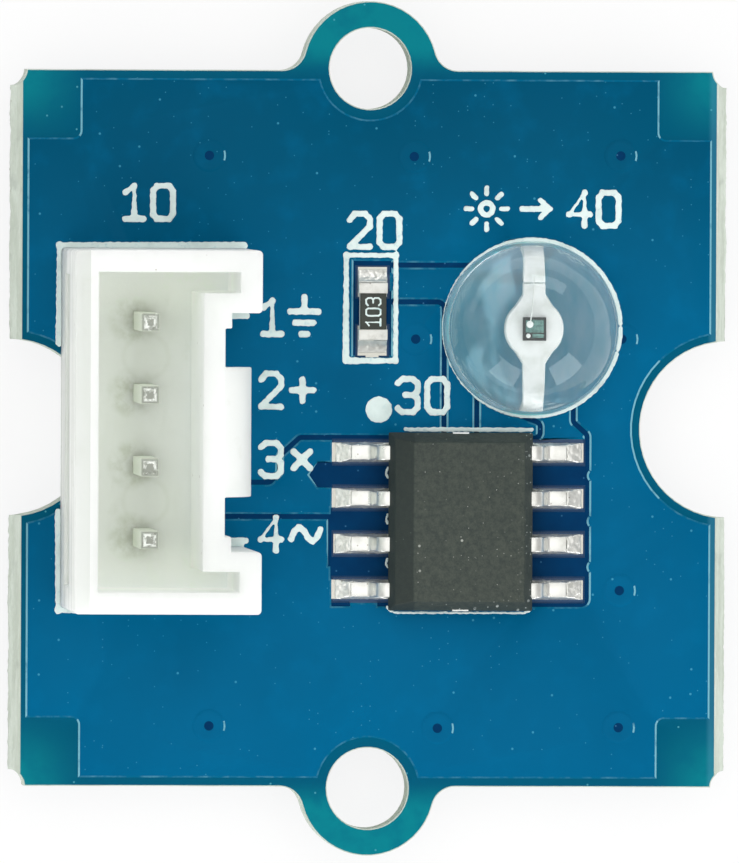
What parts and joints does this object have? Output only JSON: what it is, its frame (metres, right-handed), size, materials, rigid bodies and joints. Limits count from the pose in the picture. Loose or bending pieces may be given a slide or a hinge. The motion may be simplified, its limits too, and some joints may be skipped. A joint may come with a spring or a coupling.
{
  "type": "light sensor module",
  "caption": "Small square circuit board with two mounting ears, a shrouded pin connector, a chip resistor, an amplifier chip and a clear round light sensor.",
  "frame": {"origin": "midway between the two mounting holes, on the underside of the laminate", "axes": "+Z out of the component side, +Y along the line of the mounting holes, +X away from the connector"},
  "size_m": [0.02, 0.0238, 0.011],
  "materials": {
    "laminate": "matt glass-cloth epoxy, beige-green at its cut edges",
    "copper": "rolled copper foil, seen only through the lacquer",
    "lacquer": "glossy blue lacquer, dark navy over bare laminate",
    "solder": "bright tin alloy, slightly grained",
    "white_ink": "matt white print",
    "white_nylon": "satin moulded plastic",
    "tin": "satin tin plate",
    "alumina": "fired white ceramic",
    "resistive_film": "dull",
    "black_glaze": "dark glassy coat",
    "black_epoxy": "matt moulding compound, finely pitted",
    "lead_frame": "silver-plated strip",
    "silicon": "polished, greenish grey",
    "gold": "bright drawn wire",
    "clear_epoxy": "clear cast resin, glossy"
  },
  "bodies": {
    "root": {"circuit_board": "laminate", "copper_top": "copper", "copper_bottom": "copper", "solder_mask_top": "lacquer", "solder_mask_bottom": "lacquer", "via_barrels": "copper", "hole_barrels": "solder", "silkscreen_top": "white_ink", "connector_housing": "white_nylon", "connector_pin_1": "tin", "connector_pin_2": "tin", "connector_pin_3": "tin", "connector_pin_4": "tin", "connector_solder": "solder", "resistor_substrate": "alumina", "resistor_film": "resistive_film", "resistor_coat": "black_glaze", "resistor_terminal_1": "tin", "resistor_terminal_2": "tin", "resistor_solder": "solder", "amplifier_body": "black_epoxy", "amplifier_lead_1": "tin", "amplifier_lead_2": "tin", "amplifier_lead_3": "tin", "amplifier_lead_4": "tin", "amplifier_lead_5": "tin", "amplifier_lead_6": "tin", "amplifier_lead_7": "tin", "amplifier_lead_8": "tin", "amplifier_paddle": "lead_frame", "amplifier_die": "silicon", "amplifier_bond_wires": "gold", "amplifier_solder": "solder", "sensor_lens": "clear_epoxy", "sensor_lead_1": "lead_frame", "sensor_lead_2": "lead_frame", "sensor_die": "silicon", "sensor_bond_wire": "gold", "sensor_solder": "solder"}
  },
  "joints": []
}
